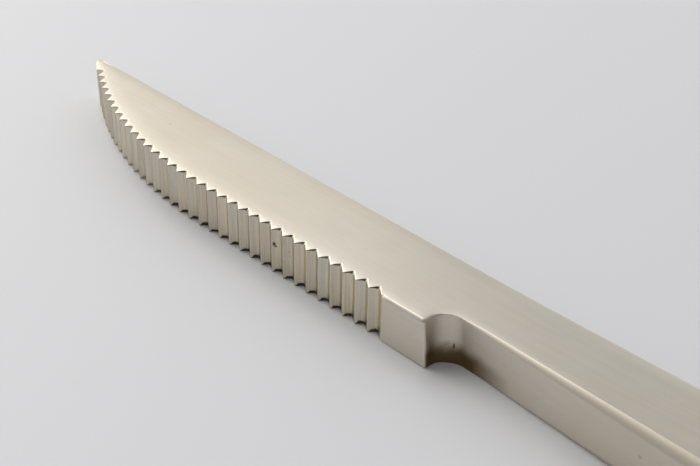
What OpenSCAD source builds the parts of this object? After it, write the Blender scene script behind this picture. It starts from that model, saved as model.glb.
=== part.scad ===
// Table knife of very thick metal, lying on its side.
// One solid piece: fluted blade, plain heel, scooped neck and a handle that swells towards its end.
// X runs along the knife towards the tip, Y towards the cutting edge and Z up from the table.

/* [Blade] */
// Length from the back of the heel to the tip
blade_length = 125.6; // [100:0.1:150]
// Depth from the spine to the cutting edge, at the heel
blade_depth = 18.7; // [16:0.1:26]
// Thickness of the blade
blade_thickness = 10; // [5:0.1:14]
// Angle by which the cutting edge leaves the spine on its way to the belly
edge_angle = 0.75; // [0:0.05:1.5]
// Radius of the belly, which curves up to the tip
belly_radius = 114; // [90:1:160]
// Radius of the blunt tip, seen from above
tip_radius = 1; // [0.8:0.1:2]

/* [Flutes] */
// Length of the plain heel behind the first flute
heel_length = 10.1; // [5:0.1:15]
// Width of each flute along the straight edge
flute_pitch = 3.25; // [2.6:0.05:3.6]
// Width of each flute along the belly
belly_pitch = 3.45; // [2.6:0.05:3.6]
// Radius of the round cutter that leaves each flute
flute_radius = 1.9; // [1.85:0.05:3]
// Distance by which the ridges between flutes stand back from the plain heel
ridge_drop = 0.2; // [0.15:0.05:0.6]
// Width of the broken edge along the top and the foot of each flute
flute_flare = 0.25; // [0.1:0.05:0.6]
// Length left plain between the last flute and the rounding of the tip
tip_plain = 1; // [0.5:0.1:6]

/* [Neck and handle] */
// Length from the back of the heel to the end of the handle
handle_length = 104.4; // [80:0.1:130]
// Step from the edge of the plain heel back to the front of the handle
neck_step = 5.6; // [5:0.1:8]
// Radius of the scoop between the heel and the handle
neck_radius = 4; // [2:0.1:4.5]
// Length behind the scoop before the handle starts to swell
swell_gap = 1.5; // [0.5:0.1:10]
// Radius of the upright corner at the back of the heel
heel_corner = 0.6; // [0.6:0.05:1.2]
// Depth of the handle at its end
end_depth = 18.5; // [15:0.1:22]
// Thickness of the handle at its end
end_thickness = 12.5; // [10:0.1:16]
// Radius of the corners at the end of the handle, seen from above
end_corner = 7; // [4:0.1:7.4]

/* [Edges] */
// Radius that breaks the edges of the blade and the neck
blade_edge = 0.4; // [0.2:0.05:0.5]
// Radius that the edges of the handle reach at its end
handle_edge = 3; // [1:0.1:3.5]

/* [Hidden] */

// Steps in a quarter of an edge's rounding, and in the arcs of the outline
edge_steps = 4;
corner_steps = 10;
belly_steps = 14;
flute_fn = 96;
// Reach of a cutter past the faces that it opens
over = 1;

// The straight part of the cutting edge starts above the back of the heel
edge_start = [0, blade_depth];
edge_along = [cos(edge_angle), sin(edge_angle)];
edge_out = [-sin(edge_angle), cos(edge_angle)];

// The belly touches the straight edge and, from inside, the rounding of the tip
tip_center = [blade_length - tip_radius, tip_radius];
to_tip = tip_center - edge_start + belly_radius * edge_out;
straight_length = to_tip * edge_along
    - sqrt(pow(belly_radius - tip_radius, 2) - pow(cross(edge_along, to_tip), 2));
belly_center = edge_start + straight_length * edge_along - belly_radius * edge_out;
belly_first = 90 + edge_angle;
belly_last = atan2(tip_center[1] - belly_center[1], tip_center[0] - belly_center[0]);
belly_length = belly_radius * (belly_first - belly_last) * PI / 180;

// The front of the handle is one straight line from the neck to the end
neck_depth = blade_depth - neck_step;
front_angle = atan((end_depth - neck_depth) / handle_length);
scoop_center = [-neck_radius, neck_depth + neck_radius * (1 + sin(front_angle)) / cos(front_angle)];

// The handle starts to thicken just behind the scoop
swell_x = -neck_radius - swell_gap;
swell_length = handle_length + swell_x;

// Ridges along the edge, counted from the heel
straight_flutes = round((straight_length - heel_length) / flute_pitch);
belly_flutes = floor((straight_length + belly_length - tip_plain - heel_length
    - straight_flutes * flute_pitch) / belly_pitch);
flutes = straight_flutes + belly_flutes;

function direction(angle) = [cos(angle), sin(angle)];

// Share of the way from the neck to the end of the handle, and what grows with it
function swell(x) = max(0, swell_x - x) / swell_length;
function top_z(x) = blade_thickness + (end_thickness - blade_thickness) * swell(x);
function edge_radius(x) = blade_edge + (handle_edge - blade_edge) * swell(x);

// Distance of ridge k from the back of the heel, along the edge
function ridge_at(k) = heel_length + min(k, straight_flutes) * flute_pitch
    + max(0, k - straight_flutes) * belly_pitch;

// Angle of the edge's outward normal, and the point that lies in front of the edge by a given distance
function edge_normal(u) = belly_first - max(0, u - straight_length) / belly_radius * 180 / PI;
function edge_point(u, ahead) = u < straight_length
    ? edge_start + u * edge_along + ahead * edge_out
    : belly_center + (belly_radius + ahead) * direction(edge_normal(u));

// Outline points are pairs: the point, and the direction in which the edge's rounding moves it
function arc(center, radius, from, to, steps, inward = -1) = [
    for (i = [0 : steps])
        let (d = direction(from + (to - from) * i / steps))
            [center + radius * d, inward * d]
];

// The outline, anticlockwise from the end of the handle on the spine's side
outline = concat(
    arc([end_corner - handle_length, end_corner], end_corner, 180, 270, corner_steps),
    [[[swell_x, 0], [0, 1]], [[heel_length, 0], [0, 1]]],
    arc(tip_center, tip_radius, -90, belly_last, corner_steps),
    [for (i = [1 : belly_steps])
        let (d = direction(belly_last + (belly_first - belly_last) * i / belly_steps))
            [belly_center + belly_radius * d, -d]],
    arc([heel_corner, blade_depth - heel_corner * (1 - sin(edge_angle)) / cos(edge_angle)],
        heel_corner, belly_first, 180, corner_steps / 2),
    arc(scoop_center, neck_radius, 0, -90 - front_angle, corner_steps, 1),
    [[[swell_x, neck_depth - swell_x * tan(front_angle)], [0, -1 / cos(front_angle)]]],
    arc([end_corner - handle_length,
         neck_depth + ((handle_length - end_corner) * sin(front_angle) - end_corner) / cos(front_angle)],
        end_corner, 90 - front_angle, 180, corner_steps)
);
points = len(outline);
swell_spine = corner_steps + 1;
heel_spine = swell_spine + 1;
swell_front = points - corner_steps - 2;

// Triangles of a flat face: the handle's fan out from where it starts to swell, the blade's from the
// point of the spine opposite the first flute, which sees past the scoop
face_fans = concat(
    [for (k = [0 : corner_steps + swell_spine])
        [swell_spine, (swell_front + k) % points, (swell_front + k + 1) % points]],
    [for (i = [heel_spine + 1 : swell_front - 1]) [heel_spine, i, i + 1]],
    [[heel_spine, swell_front, swell_spine]]
);

// One ring of the rounding: turn 0 lies on the flat face, turn 90 on the wall
function ring(turn, top) = [
    for (p = outline)
        let (
            r = edge_radius(p[0][0]),
            at = p[0] + r * (1 - sin(turn)) * p[1],
            lift = r * (1 - cos(turn))
        )
        [at[0], at[1], top ? top_z(at[0]) - lift : lift]
];

// Solid between the two flat faces, with every edge round
module blank() {
    turns = [for (i = [0 : edge_steps]) 90 * i / edge_steps];
    rings = concat(
        [for (t = turns) ring(t, false)],
        [for (i = [edge_steps : -1 : 0]) ring(turns[i], true)]
    );
    last = (len(rings) - 1) * points;
    polyhedron(
        points = [for (r = rings) each r],
        faces = concat(
            face_fans,
            [for (j = [0 : len(rings) - 2]) for (i = [0 : points - 1])
                let (a = j * points + i, b = j * points + (i + 1) % points)
                    each [[a, a + points, b + points], [a, b + points, b]]],
            [for (f = face_fans) [last + f[2], last + f[1], last + f[0]]]
        )
    );
}

// Round cutter that flares where it passes the two flat faces
module flute_cutter() {
    wide = flute_radius + flute_flare + over;
    rotate_extrude($fn = flute_fn)
        polygon([
            [0, -over], [wide, -over],
            [flute_radius, flute_flare], [flute_radius, blade_thickness - flute_flare],
            [wide, blade_thickness + over], [0, blade_thickness + over]
        ]);
}

// Centre of the cutter for flute k, whose circle passes through the ridges on both sides
function flute_center(k) =
    let (
        from = ridge_at(k),
        to = ridge_at(k + 1),
        ahead = sqrt(pow(flute_radius, 2) - pow((to - from) / 2, 2))
    )
    edge_point((from + to) / 2, ahead - ridge_drop);

// Middle of the whole knife, seen from above
highest = max([for (k = [0 : flutes]) edge_point(ridge_at(k), -ridge_drop)[1]]);
middle = [(blade_length - handle_length) / 2, max(highest, end_depth) / 2];

module knife() {
    color([0.75, 0.72, 0.66])
        translate([-middle[0], -middle[1], 0])
            difference() {
                blank();
                for (k = [0 : flutes - 1])
                    translate(flute_center(k)) flute_cutter();
            }
}

knife();
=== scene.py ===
import math
import bpy
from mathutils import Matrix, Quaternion, Vector, kdtree


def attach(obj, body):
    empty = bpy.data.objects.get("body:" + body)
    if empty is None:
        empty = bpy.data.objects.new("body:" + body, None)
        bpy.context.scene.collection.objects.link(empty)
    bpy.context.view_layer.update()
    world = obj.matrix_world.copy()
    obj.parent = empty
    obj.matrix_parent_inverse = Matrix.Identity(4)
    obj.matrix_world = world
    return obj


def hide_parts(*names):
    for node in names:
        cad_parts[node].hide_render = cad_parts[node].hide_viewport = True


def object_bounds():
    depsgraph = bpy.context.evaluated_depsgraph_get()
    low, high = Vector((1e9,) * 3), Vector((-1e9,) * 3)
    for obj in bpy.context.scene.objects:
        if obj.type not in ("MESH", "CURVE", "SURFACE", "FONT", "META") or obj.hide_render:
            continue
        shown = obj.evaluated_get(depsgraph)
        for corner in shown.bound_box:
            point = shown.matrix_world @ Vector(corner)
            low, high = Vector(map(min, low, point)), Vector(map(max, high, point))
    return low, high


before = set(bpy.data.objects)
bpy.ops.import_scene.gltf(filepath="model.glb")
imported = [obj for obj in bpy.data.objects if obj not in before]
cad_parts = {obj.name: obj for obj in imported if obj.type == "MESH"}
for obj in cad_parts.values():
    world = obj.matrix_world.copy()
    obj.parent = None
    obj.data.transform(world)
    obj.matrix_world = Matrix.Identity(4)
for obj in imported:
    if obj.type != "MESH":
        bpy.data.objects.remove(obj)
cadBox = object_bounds()
mm = 0.001
print("frame loaded")

# Sizes of the knife in millimetres. x starts at the back of the heel and runs to the tip,
# y starts at the spine and runs to the cutting edge, z starts at the table.
knife = {
    "bladeLength": 125.6, "bladeDepth": 18.7, "bladeThickness": 10.0,
    "edgeAngle": math.radians(0.75), "bellyRadius": 114.0, "tipRadius": 1.0,
    "heelCorner": 0.6, "neckStep": 5.6, "neckRadius": 4.0,
    "swellStart": -5.5, "swellBlend": 14.0,  # where the handle starts to swell, and how softly
    "handleLength": 104.4, "endDepth": 18.5, "endThickness": 12.5, "endCorner": 7.0,
}

flutes = {
    "heelLength": 10.1, "straightPitch": 3.25, "bellyPitch": 3.45, "straightCount": 16, "bellyCount": 18,
    "steepSide": 1.15, "flatSide": 0.75, "soften": 1.7,  # slopes of a flute's two sides, and its round bottom
    "ridgeDrop": 0.2,                                     # how far the ridges stand back from the plain heel
    "widen": 1.3,                                         # how much a flute grows over its broken edge
    "thin": 2.5,                                          # how soon that edge gets thin on the heel's side
    "blendStart": 0.6, "blendEnd": 4.0,                   # distance over which the flat faces lose the flutes
}

# radii of the edges, and the stretches over which they change
edges = {
    "blade": 0.5, "handle": 3.0,
    "spineShare": 0.4, "acrossFade": (2.0, 11.0), "endFade": (40.0, 95.0),  # sharper along the spine
    "scoopShare": 0.2, "scoopFront": (9.0, 12.0), "scoopHeel": (0.0, 1.0), "scoopHandle": (-9.0, -4.0),
    "ridge": 0.07, "fluteTop": 0.42, "fluteFoot": 0.12,  # at the ridges, and where a flute is deepest
    "broken": 0.7,                                        # how flat the flutes' edges are broken
}

# the scoop and the back of the heel lean towards the handle: how far their foot lies behind their top,
# between which places the lean is full, and where it is gone
lean = {"foot": 1.10, "full": (-7.0, 2.0), "gone": (-18.0, 9.0)}

# how far the top face falls and from how far in: along the whole front, along the flutes, at the spine
# and at the front of the handle. The starts are the lengths over which the fall sets in.
crown = {
    "frontDrop": 0.10, "frontWidth": 2.0, "bladeDrop": 0.16, "bladeWidth": 5.0, "bladeStart": 20.2,
    "spineDrop": 0.10, "spineWidth": 3.0, "handleDrop": 0.04, "handleWidth": 2.0, "handleStart": 16.0,
}

# how fine the mesh is along the front, round the edges, up the walls and over the flat faces
grid = {
    "endCorner": 14, "handle": 96, "scoop": 24, "heelBack": 3, "heelCorner": 8, "heel": 14, "flute": 20,
    "tip": 6, "beforeFlutes": (0.35, 0.2, 0.1, 0.05), "afterFlutes": (0.1, 0.25),
    "rounding": 6, "wall": 10, "across": 20,
}


def heading(angle):
    return Vector((math.cos(angle), math.sin(angle)))


# The straight edge, the belly and the tip touch one another, as on the solid
tipCenter = Vector((knife["bladeLength"] - knife["tipRadius"], knife["tipRadius"]))
edgeStart = Vector((0.0, knife["bladeDepth"]))
edgeAlong = heading(knife["edgeAngle"])
edgeOut = heading(knife["edgeAngle"] + math.pi / 2)
toTip = tipCenter - edgeStart + knife["bellyRadius"] * edgeOut
straightLength = toTip.dot(edgeAlong) - math.sqrt(
    (knife["bellyRadius"] - knife["tipRadius"]) ** 2 - toTip.dot(edgeOut) ** 2)
bellyCenter = edgeStart + straightLength * edgeAlong - knife["bellyRadius"] * edgeOut
bellyFirst = math.pi / 2 + knife["edgeAngle"]
bellyLast = math.atan2(tipCenter.y - bellyCenter.y, tipCenter.x - bellyCenter.x)
edgeLength = straightLength + knife["bellyRadius"] * (bellyFirst - bellyLast)
bellyFlutes = flutes["heelLength"] + flutes["straightCount"] * flutes["straightPitch"]
flutesEnd = bellyFlutes + flutes["bellyCount"] * flutes["bellyPitch"]

neckDepth = knife["bladeDepth"] - knife["neckStep"]
frontAngle = math.atan((knife["endDepth"] - neckDepth) / knife["handleLength"])
scoopCenter = Vector((-knife["neckRadius"],
                      neckDepth + knife["neckRadius"] * (1 + math.sin(frontAngle)) / math.cos(frontAngle)))
heelBack = knife["heelCorner"] * (1 - math.sin(knife["edgeAngle"])) / math.cos(knife["edgeAngle"])
heelCenter = Vector((knife["heelCorner"], knife["bladeDepth"] - heelBack))
cornerCenter = Vector((knife["endCorner"] - knife["handleLength"],
                       neckDepth + ((knife["handleLength"] - knife["endCorner"]) * math.sin(frontAngle)
                                    - knife["endCorner"]) / math.cos(frontAngle)))


def share(value, low, high):
    return min(max((value - low) / (high - low), 0.0), 1.0)


def swell(x):
    # share of the way from the neck to the end of the handle, with a soft start
    back = knife["swellStart"] - x
    blend = knife["swellBlend"]
    if back > blend:
        soft = back
    elif back < -blend:
        soft = 0.0
    else:
        soft = (back + blend) ** 2 / (4 * blend)
    return soft / (knife["handleLength"] + knife["swellStart"])


def topHeight(x):
    return knife["bladeThickness"] + (knife["endThickness"] - knife["bladeThickness"]) * swell(x)


def leanBack(x, z):
    near = min(share(x, lean["gone"][0], lean["full"][0]), share(-x, -lean["gone"][1], -lean["full"][1]))
    return -lean["foot"] * near * max(1 - z / knife["bladeThickness"], 0.0)


def fluteShare(along):
    # width of the flute's broken edge here: full where the flute is deepest, soon thin on the heel's side
    start, pitch = flutes["heelLength"], flutes["straightPitch"]
    if along >= bellyFlutes:
        start, pitch = bellyFlutes, flutes["bellyPitch"]
    past = (along - start) % pitch
    deepest = pitch * flutes["steepSide"] / (flutes["steepSide"] + flutes["flatSide"])
    return min((pitch - past) / (pitch - deepest), (past / deepest) ** flutes["thin"])


def edgeForm(at, along, upper):
    # radius of the edge here, and how flat it is broken
    if along > flutes["heelLength"]:
        past = share(along, flutesEnd, edgeLength)
        deep = edges["fluteTop"] if upper else edges["fluteFoot"]
        radius = edges["ridge"] + (deep - edges["ridge"]) * fluteShare(along)
        return radius + (edges["spineShare"] * edges["blade"] - radius) * past, edges["broken"] * (1 - past)
    radius = edges["blade"] + (edges["handle"] - edges["blade"]) * swell(at.x)
    full = max(share(at.y, *edges["acrossFade"]), share(-at.x, *edges["endFade"]))
    radius *= edges["spineShare"] + (1 - edges["spineShare"]) * full
    scoop = min(share(at.y, *edges["scoopFront"]), share(-at.x, *edges["scoopHeel"]),
                share(at.x, *edges["scoopHandle"]))
    return radius * (1 + (edges["scoopShare"] - 1) * scoop), 0.0


# A column is a point of the outline, the way inwards from it, and how far along the cutting edge it
# lies, which is -1 everywhere else
def edgeColumn(along):
    if along < straightLength:
        return edgeStart + along * edgeAlong, -edgeOut, along
    out = heading(bellyFirst - (along - straightLength) / knife["bellyRadius"])
    return bellyCenter + knife["bellyRadius"] * out, -out, along


def arcColumns(center, radius, start, stop, steps, inward=-1):
    columns = []
    for i in range(steps + 1):
        out = heading(start + (stop - start) * i / steps)
        columns.append((center + radius * out, inward * out, -1.0))
    return columns


def lineColumns(start, stop, inward, steps):
    # only the points between the two ends, which belong to their neighbours
    return [(start.lerp(stop, i / steps), inward, -1.0) for i in range(1, steps)]


def fluteStations():
    stations = []
    start = flutes["heelLength"]
    for count, pitch in ((flutes["straightCount"], flutes["straightPitch"]),
                         (flutes["bellyCount"], flutes["bellyPitch"])):
        stations += [start + pitch * i / grid["flute"] for i in range(count * grid["flute"])]
        start += count * pitch
    return stations + [start]


def frontColumns():
    corner = arcColumns(cornerCenter, knife["endCorner"],
                        math.pi, math.pi / 2 - frontAngle, grid["endCorner"])
    scoop = arcColumns(scoopCenter, knife["neckRadius"], -math.pi / 2 - frontAngle, 0, grid["scoop"], 1)
    heel = arcColumns(heelCenter, knife["heelCorner"], math.pi, bellyFirst, grid["heelCorner"])
    handleIn = -heading(math.pi / 2 - frontAngle)
    handle = lineColumns(corner[-1][0], scoop[0][0], handleIn, grid["handle"])
    back = lineColumns(scoop[-1][0], heel[0][0], Vector((1, 0)), grid["heelBack"])
    stations = fluteStations()
    first, last = stations[0], stations[-1]
    lead = [first * i / grid["heel"] for i in range(2, grid["heel"] - 1)]
    lead += [first - gap for gap in grid["beforeFlutes"]]
    tail = [last + gap for gap in grid["afterFlutes"]]
    tail += [last + (edgeLength - last) * i / grid["tip"] for i in range(2, grid["tip"] + 1)]
    return corner + handle + scoop + back + heel + [edgeColumn(a) for a in lead + stations + tail]


def spineColumns(front):
    # one column for each one in front: up to the heel and past it, each spread by the way along the front
    corner = arcColumns(Vector((cornerCenter.x, knife["endCorner"])), knife["endCorner"],
                        math.pi, 1.5 * math.pi, grid["endCorner"])
    heel = next(i for i, column in enumerate(front) if column[0].x >= -0.001 and i > len(corner))
    heelAt = knife["heelCorner"] + 0.3
    columns = list(corner)
    stretches = ((len(corner) - 1, heel, corner[-1][0].x, heelAt),
                 (heel, len(front) - 1, heelAt, tipCenter.x))
    for first, last, start, stop in stretches:
        lengths = [0.0]
        for i in range(first, last):
            lengths.append(lengths[-1] + (front[i + 1][0] - front[i][0]).length)
        columns += [(Vector((start + (stop - start) * s / lengths[-1], 0.0)), Vector((0, 1)), -1.0)
                    for s in lengths[1:]]
    return columns


def distanceTo(columns):
    # distance of a point to the line through the columns
    tree = kdtree.KDTree(len(columns))
    for i, column in enumerate(columns):
        tree.insert(column[0].to_3d(), i)
    tree.balance()

    def measure(at):
        near = tree.find(at.to_3d())[1]
        best = (at - columns[near][0]).length
        for i in (near - 1, near):
            if 0 <= i < len(columns) - 1:
                a, b = columns[i][0], columns[i + 1][0]
                part = share((at - a).dot(b - a), 0.0, (b - a).length_squared)
                best = min(best, (at - a.lerp(b, part)).length)
        return best
    return measure


def wallRings():
    # from the flat underside round the foot, up the wall and round to the top face: how far round the
    # edge a ring lies, how far up the wall, and whether it belongs to the foot, the wall or the top
    quarter = [math.pi / 2 * i / grid["rounding"] for i in range(grid["rounding"] + 1)]
    wall = [(1 - math.cos(math.pi * i / grid["wall"])) / 2 for i in range(1, grid["wall"])]
    return ([(turn, 0.0, "foot") for turn in quarter] + [(math.pi / 2, rise, "wall") for rise in wall]
            + [(turn, 1.0, "top") for turn in quarter[::-1]])


def buildBlank():
    # the knife without its flutes, as one closed mesh of rows and columns
    front = frontColumns()
    spine = spineColumns(front)
    fromFront = distanceTo(front)
    count, across = len(front), grid["across"]
    weights = [(1 - math.cos(math.pi * k / across)) / 2 for k in range(across + 1)]
    tip = []
    for k in range(1, across):
        out = heading(bellyLast + (-math.pi / 2 - bellyLast) * weights[k])
        tip.append((tipCenter + knife["tipRadius"] * out, -out, -1.0))
    end = [(front[0][0].lerp(spine[0][0], weights[k]), Vector((1, 0)), -1.0)
           for k in range(across - 1, 0, -1)]
    loop = front + tip + spine[::-1] + end
    size = len(loop)

    points, faces, outward = [], [], []
    # what the flute tree and the metal read at each point, as a length or as a share
    lengths = {"alongEdge": [], "inset": [], "fromSpine": [], "fromFront": []}
    parts = {"reach": [], "topShare": [], "rim": []}

    def addPoint(at, z, inward, along, inset, reach, topShare, rim=0.0):
        points.append((at.x, at.y, z))
        outward.append((-inward.x, -inward.y, 0.0))
        for values, value in zip(lengths.values(), (along, inset, at.y, fromFront(at))):
            values.append(value)
        for values, value in zip(parts.values(), (reach, topShare, rim)):
            values.append(value)

    rings = wallRings()
    for turn, rise, zone in rings:
        for i, (at, inward, along) in enumerate(loop):
            footRadius = edgeForm(at, along, False)[0]
            radius, flat = edgeForm(at, along, zone != "foot")
            part = turn / (math.pi / 2)
            inset = radius * ((1 - math.sin(turn)) * (1 - flat) + (1 - part) * flat)
            lift = radius * ((1 - math.cos(turn)) * (1 - flat) + part * flat)
            place = at + inset * inward
            top = topHeight(place.x)
            heights = {"foot": lift, "top": top - lift,
                       "wall": footRadius + (top - radius - footRadius) * rise}
            rim = 0.0 if zone == "wall" else math.sqrt(abs(math.sin(2 * turn)))
            addPoint(place, heights[zone], inward, along, inset, 1.0 if i < count else 0.0, rise, rim)
    for j in range(len(rings) - 1):
        for i in range(size):
            n = (i + 1) % size
            faces.append((j * size + i, (j + 1) * size + i, (j + 1) * size + n, j * size + n))

    def closeFace(ring, upper):
        # a flat face: each of its rows runs across from a front column to the spine's
        base = ring * size
        rows = []
        for j in range(count):
            spinePoint = base + count + across - 1 + (count - 1 - j)
            row = [base + j]
            for k in range(1, across):
                if j == count - 1:
                    row.append(base + count + k - 1)
                elif j == 0:
                    row.append(base + size - k)
                else:
                    a, b = Vector(points[row[0]]).to_2d(), Vector(points[spinePoint]).to_2d()
                    at = a.lerp(b, weights[k])
                    row.append(len(points))
                    addPoint(at, topHeight(at.x) if upper else 0.0, front[j][1], front[j][2],
                             lengths["inset"][row[0]] + weights[k] * (b - a).length, (1 - weights[k]) ** 2,
                             1.0 if upper else 0.0)
            rows.append(row + [spinePoint])
        for j in range(count - 1):
            for k in range(across):
                quad = (rows[j][k], rows[j][k + 1], rows[j + 1][k + 1], rows[j + 1][k])
                faces.append(quad if upper else quad[::-1])

    closeFace(0, False)
    closeFace(len(rings) - 1, True)

    toX = cadBox[0].x / mm + knife["handleLength"]
    toY = cadBox[0].y / mm
    mesh = bpy.data.meshes.new("knifeBlank")
    placed = [((x + leanBack(x, z) + toX) * mm, (y + toY) * mm, z * mm) for x, y, z in points]
    mesh.from_pydata(placed, [], faces)
    for group, unit in ((lengths, mm), (parts, 1.0)):
        for name, values in group.items():
            attribute = mesh.attributes.new(name, "FLOAT", "POINT")
            attribute.data.foreach_set("value", [value * unit for value in values])
    mesh.attributes.new("edgeOut", "FLOAT_VECTOR", "POINT").data.foreach_set(
        "vector", [c for vector in outward for c in vector])
    mesh.polygons.foreach_set("use_smooth", [True] * len(mesh.polygons))
    mesh.update()
    return mesh


class NodeBench:
    # short ways to add nodes to one tree
    def __init__(self, tree):
        self.tree = tree

    def add(self, kind, inputs=None, **settings):
        node = self.tree.nodes.new(kind)
        for name, value in settings.items():
            setattr(node, name, value)
        for key, value in (inputs or {}).items():
            self.feed(node.inputs[key], value)
        return node

    def feed(self, socket, value):
        if isinstance(value, bpy.types.NodeSocket):
            self.tree.links.new(value, socket)
        else:
            socket.default_value = value

    def math(self, operation, *values):
        node = self.add("ShaderNodeMath", operation=operation)
        for socket, value in zip(node.inputs, values):
            self.feed(socket, value)
        return node.outputs[0]

    def product(self, *values):
        result = values[0]
        for value in values[1:]:
            result = self.math("MULTIPLY", result, value)
        return result

    def vector(self, operation, *values):
        node = self.add("ShaderNodeVectorMath", operation=operation)
        for socket, value in zip(node.inputs, values):
            self.feed(socket, value)
        return node.outputs["Value"] if operation in ("DOT_PRODUCT", "LENGTH") else node.outputs[0]

    def scaled(self, vector, factor):
        node = self.add("ShaderNodeVectorMath", {0: vector, "Scale": factor}, operation="SCALE")
        return node.outputs[0]

    def spread(self, value, low, high, toLow=0.0, toHigh=1.0, shape="SMOOTHSTEP"):
        node = self.add("ShaderNodeMapRange", interpolation_type=shape)
        for socket, given in zip(node.inputs, (value, low, high, toLow, toHigh)):
            self.feed(socket, given)
        return node.outputs[0]


def fluteTree(sizes):
    tree = bpy.data.node_groups.new("fluteCutter", "GeometryNodeTree")
    face = tree.interface
    face.new_socket(name="Geometry", in_out="INPUT", socket_type="NodeSocketGeometry")
    for name, value in sizes.items():
        kind = "NodeSocketInt" if isinstance(value, int) else "NodeSocketFloat"
        face.new_socket(name=name, in_out="INPUT", socket_type=kind)
    face.new_socket(name="Material", in_out="INPUT", socket_type="NodeSocketMaterial")
    face.new_socket(name="Geometry", in_out="OUTPUT", socket_type="NodeSocketGeometry")
    bench = NodeBench(tree)
    given = bench.add("NodeGroupInput").outputs
    m, product = bench.math, bench.product

    def named(name, kind="FLOAT"):
        node = bench.add("GeometryNodeInputNamedAttribute", {"Name": name}, data_type=kind)
        return node.outputs["Attribute"]

    def choose(straight, belly):
        return bench.add("ShaderNodeMix", {0: onBelly, 2: straight, 3: belly}, data_type="FLOAT").outputs[0]

    def fallFrom(distance, width, drop):
        near = m("MAXIMUM", m("SUBTRACT", 1.0, m("DIVIDE", distance, width)), 0.0)
        return product(near, near, drop)

    # which row of flutes this point belongs to, and which flute of that row
    along, inset = named("alongEdge"), named("inset")
    split = m("MULTIPLY_ADD", given["Straight count"], given["Straight pitch"], given["Heel length"])
    onBelly = m("GREATER_THAN", along, split)
    pitch = choose(given["Straight pitch"], given["Belly pitch"])
    start = choose(given["Heel length"], split)
    last = m("SUBTRACT", choose(given["Straight count"], given["Belly count"]), 1.0)
    turn = m("FLOOR", m("DIVIDE", m("SUBTRACT", along, start), pitch))
    turn = m("MINIMUM", m("MAXIMUM", turn, 0.0), last)
    side = m("SUBTRACT", m("SUBTRACT", along, start), product(m("ADD", turn, 0.5), pitch))

    # a flute is steep on the tip's side and flatter on the heel's, with a round bottom between
    half = product(pitch, 0.5)
    steep = product(m("SUBTRACT", half, side), given["Steep side"])
    flat = product(m("ADD", half, side), given["Flat side"])
    deep = m("SMOOTH_MIN", steep, flat, given["Soften"])
    cut = m("ADD", m("MULTIPLY_ADD", inset, given["Widen"], deep), given["Ridge drop"])
    plain = product(inset, -1.0)
    cut = m("MINIMUM", product(cut, -1.0), plain)
    fade = bench.spread(inset, given["Blend start"], given["Blend end"], 1.0, 0.0)
    shift = product(m("SUBTRACT", cut, plain), fade, named("reach"))
    sideways = bench.scaled(named("edgeOut", "FLOAT_VECTOR"), shift)

    # the top face falls away a little towards the cutting edge and the spine
    fromEdge = m("SUBTRACT", named("fromFront"), shift)
    onBlade = product(bench.spread(along, 0.0, given["Blade start"]), given["Blade drop"])
    place = bench.add("ShaderNodeSeparateXYZ", {"Vector": bench.add("GeometryNodeInputPosition").outputs[0]})
    behindNeck = m("SUBTRACT", given["Neck"], place.outputs["X"])
    onHandle = product(bench.spread(behindNeck, 0.0, given["Handle start"]), given["Handle drop"])
    fall = m("ADD", fallFrom(fromEdge, given["Front width"], given["Front drop"]),
             fallFrom(fromEdge, given["Blade width"], onBlade))
    fall = m("ADD", fall, fallFrom(named("fromSpine"), given["Spine width"], given["Spine drop"]))
    fall = m("ADD", fall, fallFrom(fromEdge, given["Handle width"], onHandle))
    down = bench.add("ShaderNodeCombineXYZ", {"Z": product(fall, named("topShare"), -1.0)}).outputs[0]
    kept = bench.add("GeometryNodeSetPosition",
                     {"Geometry": given["Geometry"], "Offset": bench.vector("ADD", sideways, down)})

    # for the metal: which flute, and how deep it is here, from 0 on a ridge to about 1
    number = m("MULTIPLY_ADD", onBelly, given["Straight count"], turn)
    deepShare = m("DIVIDE", deep, product(half, given["Flat side"]))
    for name, value in (("fluteDepth", deepShare), ("fluteNumber", number)):
        kept = bench.add("GeometryNodeStoreNamedAttribute",
                         {"Geometry": kept.outputs[0], "Name": name, "Value": value},
                         data_type="FLOAT", domain="POINT")
    whole = bench.add("GeometryNodeRealizeInstances", {"Geometry": kept.outputs[0]})
    dressed = bench.add("GeometryNodeSetMaterial",
                        {"Geometry": whole.outputs[0], "Material": given["Material"]})
    bench.add("NodeGroupOutput", {"Geometry": dressed.outputs[0]})
    return tree


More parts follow.
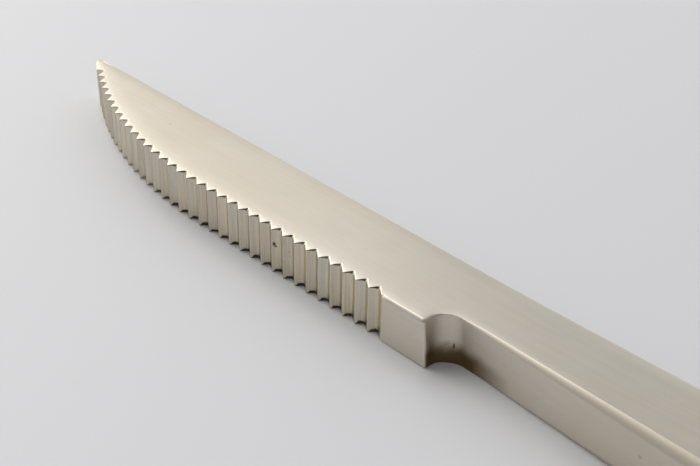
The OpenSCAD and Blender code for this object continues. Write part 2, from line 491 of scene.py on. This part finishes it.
def makeKnife(material):
    blank = bpy.data.objects.new("knifeBlank", buildBlank())
    bpy.context.scene.collection.objects.link(blank)
    sizes = {
        "Heel length": flutes["heelLength"] * mm, "Straight pitch": flutes["straightPitch"] * mm,
        "Belly pitch": flutes["bellyPitch"] * mm, "Straight count": flutes["straightCount"],
        "Belly count": flutes["bellyCount"], "Steep side": flutes["steepSide"],
        "Flat side": flutes["flatSide"], "Soften": flutes["soften"] * mm, "Widen": flutes["widen"],
        "Ridge drop": flutes["ridgeDrop"] * mm, "Blend start": flutes["blendStart"] * mm,
        "Blend end": flutes["blendEnd"] * mm,
        "Front drop": crown["frontDrop"] * mm, "Front width": crown["frontWidth"] * mm,
        "Blade drop": crown["bladeDrop"] * mm, "Blade width": crown["bladeWidth"] * mm,
        "Blade start": crown["bladeStart"] * mm,
        "Spine drop": crown["spineDrop"] * mm, "Spine width": crown["spineWidth"] * mm,
        "Handle drop": crown["handleDrop"] * mm, "Handle width": crown["handleWidth"] * mm,
        "Handle start": crown["handleStart"] * mm,
        "Neck": cadBox[0].x + (knife["handleLength"] - knife["neckRadius"]) * mm,
    }
    tree = fluteTree(sizes)
    cutter = blank.modifiers.new("fluteCutter", "NODES")
    cutter.node_group = tree
    for item in tree.interface.items_tree:
        if item.in_out == "INPUT" and item.name in sizes:
            cutter[item.identifier] = sizes[item.name]
        elif item.in_out == "INPUT" and item.name == "Material":
            cutter[item.identifier] = material
    graph = bpy.context.evaluated_depsgraph_get()
    mesh = bpy.data.meshes.new_from_object(blank.evaluated_get(graph), preserve_all_data_layers=True,
                                           depsgraph=graph)
    mesh.name = "knifeBody"
    piece = bpy.data.objects.new("knifeBody", mesh)
    bpy.context.scene.collection.objects.link(piece)
    blank.modifiers.clear()
    bpy.data.objects.remove(blank)
    print("knife made:", len(mesh.polygons), "faces")
    return piece


satin = {
    "color": (0.67, 0.62, 0.54, 1), "warmColor": (0.65, 0.595, 0.505, 1), "edgeTint": (1.0, 0.97, 0.88, 1),
    "roughness": 0.32, "wornRoughness": 0.64, "shadeAndMarkRoughness": 0.25, "scoopShadeRoughness": 0.1, "specular": 0.2,
    "edgeDimming": 0.20,                                     # how much darker the plain edges are painted, to tone down their highlight
    "clouds": 45.0, "streaks": 1500.0, "drawn": 2600.0,   # scales of the clouds and of the two kinds of lines
    "streakTone": 0.10, "streakRoughness": 0.04, "drawnTone": 0.55,
    # the flutes differ a little in colour and in tone
    "panelCool": (0.63, 0.60, 0.495, 1), "panelWarm": (0.67, 0.59, 0.465, 1),
    "panelShare": 0.75, "panelTone": 0.16,
    "streakRelief": 0.35, "drawnRelief": 1.5, "markRelief": 4.0, "bump": 0.25, "bumpDepth": 0.02,
}

# painted shade on the flutes, in millimetres: how far it climbs from the foot, at which height it sets in
# under the top edge, and the stretch of the cutting edge over which it fades, and to what share; its colour
# also darkens the small marks
fluteShadeAndMarks = {
    "color": (0.020, 0.012, 0.005, 1), "ragged": 900.0,
    "climb": 0.3, "raggedClimb": 0.8, "softness": 0.10,
    "footDark": 0.95, "footFade": (70, 95), "footLeft": 0.3,
    "topFrom": 8.0, "topFull": 9.0, "topDark": (0.65, 0.95), "topFade": (75, 100), "topLeft": 0.1,
}

# brown painted shade low in the scoop, in millimetres: the heights between which it fades, with a wavy line,
# how far along the handle it runs, and where it stops at the heel
scoopShade = {
    "color": (0.17, 0.115, 0.055, 1), "low": 2.2, "high": 5.1, "waves": 350.0, "wavy": 2.2,
    "start": -16.6, "end": -25.6, "heelStart": -10.3, "heelEnd": -10.6, "front": 2.0,
}

# small marks where the knife shows them: place in the row frame and half sizes in millimetres
marks = (
    {"at": (28.4, 8.9, 6.4), "size": (0.24, 0.72, 0.55), "dark": 0.85},
    {"at": (28.2, 8.75, 5.9), "size": (0.26, 0.78, 0.28), "dark": 0.75},
    {"at": (24.7, 8.4, 6.2), "size": (0.14, 0.42, 0.16), "dark": 0.7},
    {"at": (24.6, 8.3, 5.1), "size": (0.12, 0.36, 0.14), "dark": 0.55},
    {"at": (25.3, 9.1, 3.9), "size": (0.14, 0.42, 0.12), "dark": 0.55},
    {"at": (-13.55, 4.06, 3.75), "size": (0.2, 0.6, 0.75), "dark": 0.75},
    {"at": (-52.4, 5.6, 6.1), "size": (0.5, 1.5, 0.35), "dark": 0.25},
    {"at": (75.9, -1.7, 10.0), "size": (0.7, 0.5, 0.7), "dark": 0.12},
)


def satinMaterial():
    material = bpy.data.materials.new("satinMetal")
    material.use_nodes = True
    tree = material.node_tree
    tree.nodes.clear()
    bench = NodeBench(tree)
    m, product, spread = bench.math, bench.product, bench.spread
    place = bench.add("ShaderNodeTexCoord").outputs["Object"]
    spot = bench.add("ShaderNodeSeparateXYZ", {"Vector": place}).outputs
    height = spot["Z"]
    facing = bench.add("ShaderNodeSeparateXYZ",
                       {"Vector": bench.add("ShaderNodeNewGeometry").outputs["Normal"]}).outputs

    def noise(stretch, scale, detail=3.0, rough=0.55):
        where = bench.vector("MULTIPLY", place, stretch)
        return bench.add("ShaderNodeTexNoise", {"Vector": where, "Scale": scale, "Detail": detail,
                                                "Roughness": rough}).outputs["Fac"]

    def kept(name):
        return bench.add("ShaderNodeAttribute", attribute_name=name).outputs["Fac"]

    def mixed(part, first, second):
        return bench.add("ShaderNodeMix", {0: part, 6: first, 7: second}, data_type="RGBA").outputs[2]

    def chance(number):
        return bench.add("ShaderNodeTexWhiteNoise", {"W": number}, noise_dimensions="1D").outputs["Value"]

    def around(value, amount):
        return product(m("SUBTRACT", value, 0.5), amount)

    along, deep, rim = kept("alongEdge"), kept("fluteDepth"), kept("rim")
    number = m("ROUND", kept("fluteNumber"))
    wall = spread(m("ABSOLUTE", facing["Z"]), 0.25, 0.6, 1.0, 0.0)
    onFlutes = m("GREATER_THAN", along, flutes["heelLength"] * mm)
    fluted = product(onFlutes, wall)

    # soft clouds and streaks along the knife, and lines drawn down the flutes by the cutter
    clouds = spread(noise((1, 1, 1), satin["clouds"]), 0.35, 0.65)
    streaks = noise((0.05, 1, 0.6), satin["streaks"], 2.0)
    drawn = noise((1, 1, 0.03), satin["drawn"], 2.0, 0.6)
    color = mixed(clouds, satin["color"], satin["warmColor"])
    panel = mixed(chance(number), satin["panelCool"], satin["panelWarm"])
    color = mixed(product(fluted, satin["panelShare"]), color, panel)
    tone = m("ADD", around(drawn, product(fluted, satin["drawnTone"])), around(streaks, satin["streakTone"]))
    tone = m("ADD", tone, around(chance(m("ADD", number, 40.5)), product(fluted, satin["panelTone"])))
    # painted shade: the plain edges are darkened a little to tone down their highlight
    tone = m("SUBTRACT", tone, product(rim, m("SUBTRACT", 1.0, onFlutes), satin["edgeDimming"]))
    lightness = m("ADD", tone, 1.0)
    color = bench.vector("MULTIPLY", color, bench.add(
        "ShaderNodeCombineXYZ", {axis: lightness for axis in "XYZ"}).outputs[0])

    # painted shade in the hollow at the foot of each flute, and under its broken top edge on the sides turned
    # from the light
    ragged = noise((1, 1, 1), fluteShadeAndMarks["ragged"])
    climb = product(spread(deep, 0.05, 0.55),
                    m("MULTIPLY_ADD", ragged, fluteShadeAndMarks["raggedClimb"] * mm, fluteShadeAndMarks["climb"] * mm))
    footShade = spread(m("SUBTRACT", height, climb), -fluteShadeAndMarks["softness"] * mm, fluteShadeAndMarks["softness"] * mm,
                       fluteShadeAndMarks["footDark"], 0.0)
    footFade, topFade = fluteShadeAndMarks["footFade"], fluteShadeAndMarks["topFade"]
    footShade = product(footShade, onFlutes,
                        spread(along, footFade[0] * mm, footFade[1] * mm, 1.0, fluteShadeAndMarks["footLeft"]))
    underTop = spread(height, fluteShadeAndMarks["topFrom"] * mm, fluteShadeAndMarks["topFull"] * mm)
    # painted shade on the broken top edge, on the sides turned away from the light (towards -x)
    topShade = product(spread(rim, 0.1, 0.6), underTop, onFlutes, spread(facing["X"], -0.1, -0.3),
                       spread(ragged, 0.3, 0.7, *fluteShadeAndMarks["topDark"]),
                       spread(along, topFade[0] * mm, topFade[1] * mm, 1.0, fluteShadeAndMarks["topLeft"]))

    # painted shade low in the scoop, darker towards the foot, which follows its lean
    leaning = m("MULTIPLY_ADD", height, -lean["foot"] / knife["bladeThickness"], lean["foot"] * mm)
    x = m("ADD", spot["X"], leaning)
    scoop = product(spread(x, scoopShade["end"] * mm, scoopShade["start"] * mm, shape="LINEAR"),
                    spread(x, scoopShade["heelStart"] * mm, scoopShade["heelEnd"] * mm),
                    spread(spot["Y"], 0.0, scoopShade["front"] * mm), wall)
    wavy = around(noise((1, 1, 1), scoopShade["waves"]), scoopShade["wavy"] * mm)
    low = spread(m("ADD", height, wavy), scoopShade["low"] * mm, scoopShade["high"] * mm, 1.0, 0.0)
    color = mixed(product(scoop, low), color, scoopShade["color"])

    # single marks with a ragged outline
    dents = 0.0
    for mark in marks:
        away = bench.vector("SUBTRACT", place, tuple(c * mm for c in mark["at"]))
        reach = bench.vector("LENGTH", bench.vector("DIVIDE", away, tuple(c * mm for c in mark["size"])))
        dents = m("MAXIMUM", dents, spread(m("ADD", reach, around(ragged, 1.2)), 0.5, 1.1, mark["dark"], 0.0))
    # painted shade at the flutes' feet and under their top edges, together with the real marks: all take the
    # dark colour and are not metal
    shadeAndMarks = m("MAXIMUM", m("MAXIMUM", footShade, topShade), dents)
    color = mixed(shadeAndMarks, color, fluteShadeAndMarks["color"])

    roughness = m("ADD", satin["roughness"], product(rim, satin["wornRoughness"] - satin["roughness"]))
    roughness = m("ADD", roughness, around(streaks, satin["streakRoughness"]))
    # rougher on the painted shade of the flutes, on the marks, and on the painted shade in the scoop
    roughness = m("ADD", roughness, m("ADD", product(shadeAndMarks, satin["shadeAndMarkRoughness"]),
                                      product(scoop, satin["scoopShadeRoughness"])))
    relief = m("ADD", product(drawn, fluted, satin["drawnRelief"]), product(streaks, satin["streakRelief"]))
    relief = m("SUBTRACT", relief, product(dents, satin["markRelief"]))
    bump = bench.add("ShaderNodeBump", {"Height": relief, "Strength": satin["bump"],
                                        "Distance": satin["bumpDepth"] * mm})
    surface = bench.add("ShaderNodeBsdfPrincipled", {
        "Base Color": color, "Metallic": m("SUBTRACT", 1.0, shadeAndMarks), "Roughness": roughness,
        "Normal": bump.outputs[0], "Specular IOR Level": satin["specular"],
        "Specular Tint": satin["edgeTint"]})
    bench.add("ShaderNodeOutputMaterial", {"Surface": surface.outputs[0]})
    print("metal made")
    return material


table = {
    "halfWidth": 4.0, "color": (0.75, 0.75, 0.773, 1), "roughness": 0.55,
    "backdrop": (0.62, 0.62, 0.63, 1), "fadeStart": 0.45, "fadeEnd": 1.6,  # far off, it is an even backdrop
}


def makeTable():
    half = table["halfWidth"]
    mesh = bpy.data.meshes.new("tableTop")
    corners = [(-half, -half, 0), (half, -half, 0), (half, half, 0), (-half, half, 0)]
    mesh.from_pydata(corners, [], [(0, 1, 2, 3)])
    top = bpy.data.objects.new("tableTop", mesh)
    bpy.context.scene.collection.objects.link(top)
    material = bpy.data.materials.new("paleTable")
    material.use_nodes = True
    tree = material.node_tree
    tree.nodes.clear()
    bench = NodeBench(tree)
    surface = bench.add("ShaderNodeBsdfPrincipled",
                        {"Base Color": table["color"], "Roughness": table["roughness"]})
    away = bench.vector("LENGTH", bench.add("ShaderNodeTexCoord").outputs["Object"])
    ray = bench.add("ShaderNodeLightPath").outputs
    seen = bench.math("MAXIMUM", ray["Is Glossy Ray"], ray["Is Transmission Ray"])
    seen = bench.math("MAXIMUM", ray["Is Camera Ray"], seen)
    far = bench.product(bench.spread(away, table["fadeStart"], table["fadeEnd"]), seen)
    backdrop = bench.add("ShaderNodeEmission", {"Color": table["backdrop"]})
    mixed = bench.add("ShaderNodeMixShader", {0: far, 1: surface.outputs[0], 2: backdrop.outputs[0]})
    bench.add("ShaderNodeOutputMaterial", {"Surface": mixed.outputs[0]})
    material.cycles.emission_sampling = "NONE"
    mesh.materials.append(material)


view = {
    "place": (-0.11260, 0.12705, 0.12744), "heading": -44.45, "down": 32.783, "roll": 1.403,
    "lens": 59.14, "sensor": 36.0, "nearest": 0.005,
}


def makeCamera():
    data = bpy.data.cameras.new("view")
    data.lens = view["lens"]
    data.sensor_width = view["sensor"]
    data.clip_start = view["nearest"]
    camera = bpy.data.objects.new("view", data)
    camera.location = view["place"]
    turn = (Quaternion((0, 0, 1), math.radians(view["heading"] - 90))
            @ Quaternion((1, 0, 0), math.radians(90 - view["down"]))
            @ Quaternion((0, 0, 1), math.radians(view["roll"])))
    camera.rotation_euler = turn.to_euler()
    bpy.context.scene.collection.objects.link(camera)
    bpy.context.scene.camera = camera


# the room is dark but for soft glows, each given by its turn and height in degrees, strength and colour
room = {
    "focus": 12.0,                                        # a glow fades with this power of the angle's cosine
    "glows": (
        (5.0, 12.0, 2.7, (1.0, 0.98, 0.94)), (40.0, 12.0, 0.9, (1.0, 0.98, 0.95)),
        (-25.0, 45.0, 0.25, (1.0, 0.99, 0.97)), (-65.0, 12.0, 1.1, (0.96, 0.98, 1.0)),
        (-105.0, 45.0, 1.35, (0.93, 0.96, 1.0)), (100.0, 45.0, 0.36, (1.0, 1.0, 1.0)),
        (0.0, 90.0, 0.25, (1.0, 1.0, 1.0)),
        # these four are there for views from the other sides
        (-135.0, 20.0, 0.5, (1.0, 1.0, 1.0)), (90.0, 20.0, 0.4, (1.0, 1.0, 1.0)),
        (135.0, 20.0, 0.5, (1.0, 1.0, 1.0)), (180.0, 20.0, 0.4, (1.0, 1.0, 1.0)),
    ),
}
lamps = (
    {"name": "softbox", "turn": 5.0, "height": 45.0, "distance": 1.15, "size": 1.08, "watts": 6.9,
     "color": (1.0, 0.98, 0.95)},
    {"name": "sideLamp", "turn": -30.0, "height": 30.0, "distance": 0.8, "size": 0.5, "watts": 0.34,
     "color": (1.0, 1.0, 1.0)},
    {"name": "rimLamp", "turn": -28.0, "height": 47.0, "distance": 0.8, "size": 0.3, "watts": 0.12,
     "color": (1.0, 1.0, 1.0)},
    {"name": "ceiling", "turn": -37.0, "height": 60.0, "distance": 1.0, "size": 0.5, "watts": 0.36,
     "color": (1.0, 1.0, 1.0)},
)


def fromAngles(turn, height, distance=1.0):
    flat = math.cos(math.radians(height)) * distance
    return Vector((flat * math.cos(math.radians(turn)), flat * math.sin(math.radians(turn)),
                   math.sin(math.radians(height)) * distance))


def makeRoom():
    world = bpy.data.worlds.new("studio")
    bpy.context.scene.world = world
    world.use_nodes = True
    tree = world.node_tree
    tree.nodes.clear()
    bench = NodeBench(tree)
    way = bench.vector("NORMALIZE", bench.add("ShaderNodeTexCoord").outputs["Generated"])
    total = None
    for turn, height, strength, color in room["glows"]:
        lit = bench.vector("DOT_PRODUCT", way, tuple(fromAngles(turn, height)))
        lit = bench.math("POWER", bench.math("MAXIMUM", lit, 0.0), room["focus"])
        glow = bench.scaled(tuple(strength * c for c in color), lit)
        total = glow if total is None else bench.vector("ADD", total, glow)
    light = bench.add("ShaderNodeBackground", {"Color": total})
    bench.add("ShaderNodeOutputWorld", {"Surface": light.outputs[0]})


def makeLamp(lamp):
    data = bpy.data.lights.new(lamp["name"], "AREA")
    data.shape = "SQUARE"
    data.size = lamp["size"]
    data.energy = lamp["watts"]
    data.color = lamp["color"]
    piece = bpy.data.objects.new(lamp["name"], data)
    piece.location = fromAngles(lamp["turn"], lamp["height"], lamp["distance"])
    piece.rotation_euler = piece.location.to_track_quat("Z", "Y").to_euler()
    bpy.context.scene.collection.objects.link(piece)


metal = satinMaterial()
body = makeKnife(metal)
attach(body, "root")
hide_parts("knife")
makeTable()
makeRoom()
for lamp in lamps:
    makeLamp(lamp)
makeCamera()
bpy.context.scene.view_settings.view_transform = "Standard"
print("scene dressed")
